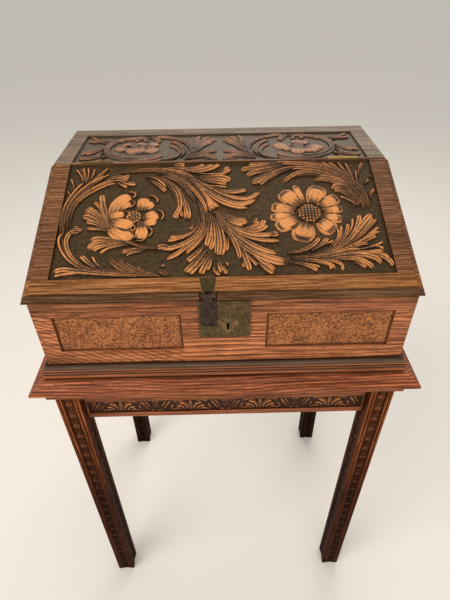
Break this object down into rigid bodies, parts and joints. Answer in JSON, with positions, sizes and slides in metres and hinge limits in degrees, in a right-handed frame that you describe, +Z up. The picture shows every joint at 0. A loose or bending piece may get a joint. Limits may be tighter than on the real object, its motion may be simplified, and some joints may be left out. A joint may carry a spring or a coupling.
{
  "type": "slant lid bible box on stand",
  "caption": "Carved oak slant-lid bible box with hasp lock, lifting off a table-height stand with square reeded legs.",
  "frame": {"origin": "on the floor, under the middle of the stand", "axes": "+Z up, +X to the right of someone facing the box, -Y towards that person, so the sloping lid, hasp and lock face -Y"},
  "size_m": [0.62, 0.47, 0.9949],
  "materials": {
    "carved_oak": "waxed, worn",
    "box_oak": "waxed, worn",
    "plain_oak": "bare",
    "stand_oak": "waxed, worn",
    "bronze": "dark patina",
    "hinge_brass": "rubbed",
    "dark_iron": "dull",
    "steel": "dull"
  },
  "bodies": {
    "stand": {"apron_back": "stand_oak", "apron_front": "stand_oak", "apron_left": "stand_oak", "apron_right": "stand_oak", "bed_mould_back": "stand_oak", "bed_mould_front": "stand_oak", "bed_mould_left": "stand_oak", "bed_mould_right": "stand_oak", "corner_blocks": "plain_oak", "leg_back_left": "stand_oak", "leg_back_right": "stand_oak", "leg_front_left": "stand_oak", "leg_front_right": "stand_oak", "plinth_mould_back": "stand_oak", "plinth_mould_front": "stand_oak", "plinth_mould_left": "stand_oak", "plinth_mould_right": "stand_oak", "stand_top": "stand_oak", "top_screws": "steel"},
    "box": {"box_back": "box_oak", "box_bottom": "plain_oak", "box_front": "box_oak", "box_nails": "dark_iron", "box_side_left": "box_oak", "box_side_right": "box_oak", "box_top": "carved_oak", "hinge_leaf_fixed_left": "hinge_brass", "hinge_leaf_fixed_right": "hinge_brass", "hinge_pins": "hinge_brass", "hinge_screws_fixed": "hinge_brass", "lock_cap": "dark_iron", "lock_case": "dark_iron", "lock_escutcheon": "bronze", "lock_key_post": "steel", "lock_plate": "bronze", "lock_plate_pins": "bronze", "lock_screws": "steel", "lock_spring": "steel"},
    "lid": {"lid_board": "carved_oak", "hinge_leaf_lid_left": "hinge_brass", "hinge_leaf_lid_right": "hinge_brass", "hinge_screws_lid": "hinge_brass", "hasp_plate": "bronze", "hasp_plate_pins": "bronze", "hasp_pin": "steel"},
    "hasp": {"hasp_strap": "bronze", "hasp_staple": "bronze"},
    "lock_bolt": {"lock_bolt": "dark_iron"}
  },
  "joints": [
    {"name": "box_lift", "type": "slide", "parent": "stand", "child": "box", "axis": [0, 0, 1], "range_m": [0, 0.05]},
    {"name": "lid_hinge", "type": "hinge", "parent": "box", "child": "lid", "pos_m": [0, 0.0375, 0.9926], "axis": [-1, 0, 0], "range_deg": [0, 200]},
    {"name": "hasp_swing", "type": "hinge", "parent": "lid", "child": "hasp", "pos_m": [-0.02175, -0.2046, 0.89289], "axis": [-1, 0, 0], "range_deg": [0, 170]},
    {"name": "lock_bolt_slide", "type": "slide", "parent": "box", "child": "lock_bolt", "axis": [-1, 0, 0], "range_m": [0, 0.008]}
  ]
}
